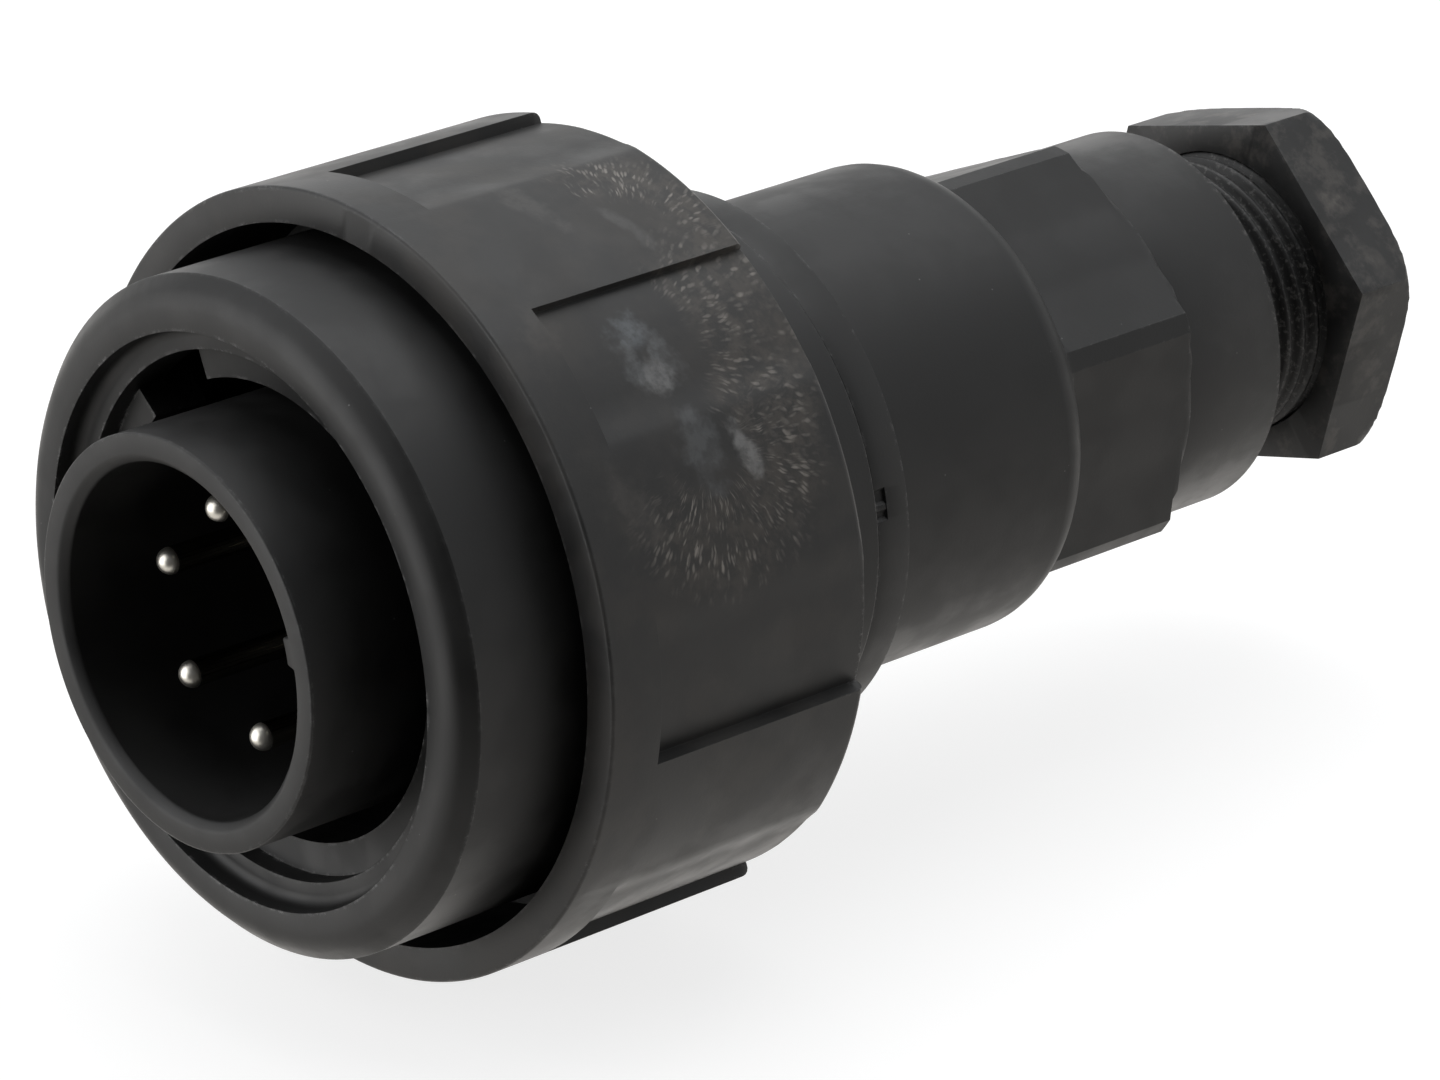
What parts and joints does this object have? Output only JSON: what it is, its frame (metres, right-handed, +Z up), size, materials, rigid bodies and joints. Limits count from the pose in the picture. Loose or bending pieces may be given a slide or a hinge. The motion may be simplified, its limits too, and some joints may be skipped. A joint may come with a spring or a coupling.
{
  "type": "circular connector plug",
  "caption": "Male bayonet cable plug: round shroud with contact pins, turning coupling ring with raised grip lands, rear body with spanner flats, and a screwed cable gland.",
  "frame": {"origin": "centre of the shroud's mating rim", "axes": "+Y runs along the plug's axis from the mating rim to the cable end, +Z up, so the mating end faces -Y"},
  "size_m": [0.0288, 0.0542, 0.0288],
  "materials": {
    "shell_plastic": "satin black moulded plastic",
    "insulator_plastic": "matte black moulded plastic",
    "collar_plastic": "satin black moulded plastic",
    "grip_plastic": "satin black glass-filled plastic with pale flow streaks",
    "body_plastic": "satin black moulded plastic",
    "nut_plastic": "mottled dark grey moulded plastic",
    "washer_plastic": "plain natural plastic",
    "seal_rubber": "matte black rubber",
    "contact_metal": "bright plated brass",
    "spring_steel": "plain spring steel"
  },
  "bodies": {
    "plug_body": {"plug_shell": "shell_plastic", "front_insulator": "insulator_plastic", "rear_insulator": "seal_rubber", "contact_pin_1": "contact_metal", "contact_pin_2": "contact_metal", "contact_pin_3": "contact_metal", "contact_pin_4": "contact_metal", "contact_pin_5": "contact_metal", "contact_pin_6": "contact_metal", "interface_seal": "seal_rubber", "retaining_clip": "spring_steel", "wave_spring": "spring_steel", "body_seal": "seal_rubber", "rear_body": "body_plastic", "cable_grommet": "seal_rubber", "pinch_ring": "insulator_plastic"},
    "coupling": {"bayonet_collar": "collar_plastic", "grip_ring": "grip_plastic"},
    "gland_slide": {"slip_washer": "washer_plastic"},
    "gland_turn": {"gland_nut": "nut_plastic"}
  },
  "joints": [
    {"name": "coupling_turn", "type": "hinge", "parent": "plug_body", "child": "coupling", "pos_m": [0, 0.016, 0], "axis": [0, 1, 0], "continuous": true},
    {"name": "nut_advance", "type": "slide", "parent": "plug_body", "child": "gland_slide", "axis": [0, -1, 0], "range_m": [0, 0.0007]},
    {"name": "nut_turn", "type": "hinge", "parent": "gland_slide", "child": "gland_turn", "pos_m": [0, 0.0526, 0], "axis": [0, -1, 0], "range_deg": [0, 336]}
  ],
  "couplings": [
    {"joint": "nut_turn", "follows": "nut_advance", "rad_per_m": 8377.6}
  ]
}
